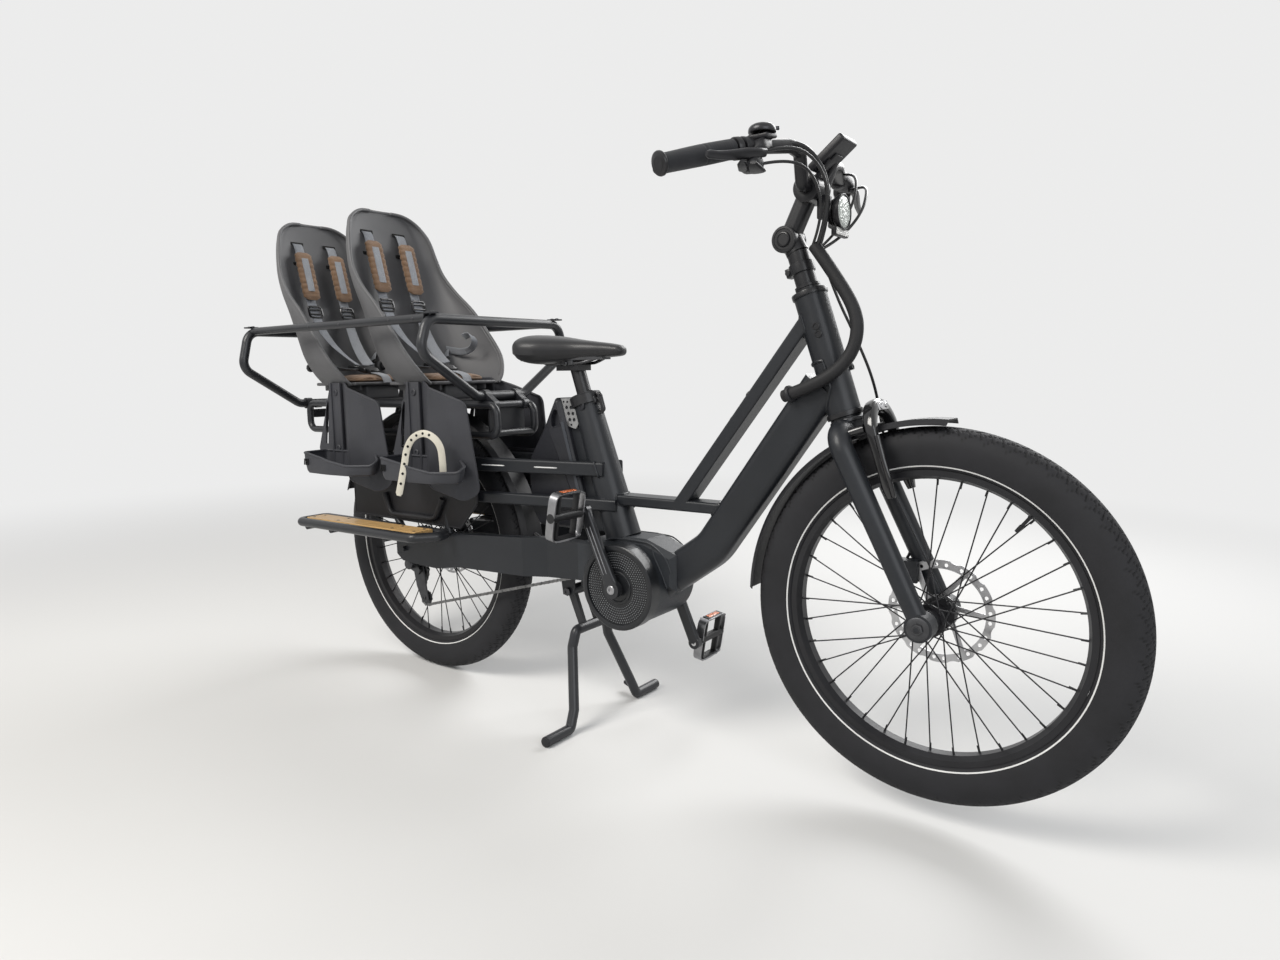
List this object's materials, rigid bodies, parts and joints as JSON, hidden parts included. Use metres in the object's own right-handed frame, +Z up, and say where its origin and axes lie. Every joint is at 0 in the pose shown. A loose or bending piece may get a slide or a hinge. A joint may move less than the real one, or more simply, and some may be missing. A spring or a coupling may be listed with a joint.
{
  "type": "longtail cargo bike",
  "caption": "Longtail electric cargo bike with child seats, guard rail, footboards and a centre stand, ridden with young passengers behind.",
  "frame": {"origin": "middle of the parked bike's footprint, on the floor", "axes": "+X forward along the bike, +Y to the rider's left, +Z up"},
  "size_m": [2.055, 0.697, 1.1596],
  "materials": {
    "frame_paint": "matt anthracite powder coat",
    "casing_paint": "matt grey powder coat",
    "black_tube": "satin black",
    "rail_black": "textured black moulding",
    "shell_grey": "smooth grey moulding",
    "pad_tan": "soft tan cushion",
    "webbing": "woven webbing with tan pads",
    "bamboo": "oiled bamboo",
    "tyre_rubber": "black rubber with a pale ring",
    "wheel_black": "black anodised",
    "rotor_steel": "brushed steel",
    "drive_steel": "dark oiled steel",
    "saddle_black": "matt black cover",
    "post_black": "black anodised",
    "pedal_black": "black with orange reflectors",
    "lock_black": "gloss black",
    "grip_rubber": "ribbed rubber",
    "control_black": "black plastic"
  },
  "bodies": {
    "frame": {"down_tube": "frame_paint", "motor_casing": "casing_paint", "seat_tube": "frame_paint", "top_tube": "frame_paint", "rails": "frame_paint", "chainstays": "frame_paint", "rack": "black_tube", "guard_rail": "black_tube", "rear_mudguard": "rail_black", "battery": "rail_black", "seatpost": "post_black", "saddle": "saddle_black", "seat_shell_front": "shell_grey", "seat_shell_rear": "shell_grey", "seat_pads": "pad_tan", "harness_front": "webbing", "harness_rear": "webbing", "leg_guards_front": "shell_grey", "leg_guards_rear": "shell_grey", "board_frames": "black_tube", "planks": "bamboo", "wheel_skirts": "rail_black", "derailleur": "drive_steel", "chain": "drive_steel", "drum_cover": "rail_black", "cable_sleeve": "grip_rubber"},
    "steering": {"fork": "frame_paint", "front_mudguard": "rail_black", "ring_lock": "lock_black", "stem": "black_tube", "handlebar": "black_tube", "grips": "grip_rubber", "controls": "control_black", "headlight": "control_black"},
    "front_wheel": {"front_tyre": "tyre_rubber", "front_wheel": "wheel_black", "front_rotor": "rotor_steel"},
    "rear_wheel": {"rear_tyre": "tyre_rubber", "rear_wheel": "wheel_black", "rear_rotor": "rotor_steel", "cassette": "drive_steel"},
    "cranks": {"cranks": "black_tube"},
    "pedal_right": {"pedal_right": "pedal_black"},
    "pedal_left": {"pedal_left": "pedal_black"},
    "stand": {"stand": "black_tube"}
  },
  "joints": [
    {"name": "steer", "type": "hinge", "parent": "frame", "child": "steering", "pos_m": [0.53974, 0, 0.68517], "axis": [-0.3382, 0, 0.9411], "range_deg": [-50, 50], "deforming": ["cable_sleeve"]},
    {"name": "front_wheel_spin", "type": "hinge", "parent": "steering", "child": "front_wheel", "pos_m": [0.70758, 0, 0.35827], "axis": [0, 1, 0], "continuous": true},
    {"name": "rear_wheel_spin", "type": "hinge", "parent": "frame", "child": "rear_wheel", "pos_m": [-0.53423, 0, 0.32], "axis": [0, 1, 0], "continuous": true},
    {"name": "crank_spin", "type": "hinge", "parent": "frame", "child": "cranks", "pos_m": [0.10689, 0, 0.32575], "axis": [0, 1, 0], "continuous": true},
    {"name": "pedal_right_spin", "type": "hinge", "parent": "cranks", "child": "pedal_right", "pos_m": [0.03562, -0.16, 0.47678], "axis": [0, 1, 0], "continuous": true},
    {"name": "pedal_left_spin", "type": "hinge", "parent": "cranks", "child": "pedal_left", "pos_m": [0.17817, 0.16, 0.17472], "axis": [0, 1, 0], "continuous": true},
    {"name": "stand_fold", "type": "hinge", "parent": "frame", "child": "stand", "pos_m": [-0.06276, 0, 0.2795], "axis": [0, 1, 0], "range_deg": [0, 80]}
  ]
}
